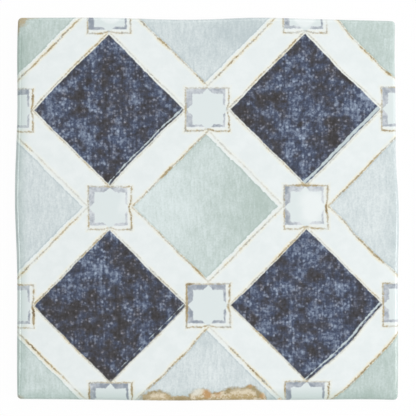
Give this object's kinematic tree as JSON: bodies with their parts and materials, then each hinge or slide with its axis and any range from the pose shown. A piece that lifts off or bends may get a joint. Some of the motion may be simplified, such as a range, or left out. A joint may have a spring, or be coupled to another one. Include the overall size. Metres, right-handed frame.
{
  "type": "moroccan tile",
  "caption": "Square glazed ceramic wall tile with wavy hand-made edges, a rounded rim, a keyed back and a printed Moroccan lattice of navy and sage diamonds.",
  "frame": {"origin": "middle of the nominal square, on the plane of the back that beds on the adhesive", "axes": "+Z out of the glazed face, +X to the right and +Y to the top of the pattern as the face is looked at"},
  "size_m": [0.2019, 0.2013, 0.009],
  "materials": {
    "printed_glaze": "gloss glaze over a printed lattice, with bare biscuit on the back and the foot of the sides"
  },
  "bodies": {
    "root": {"tile": "printed_glaze"}
  },
  "joints": []
}
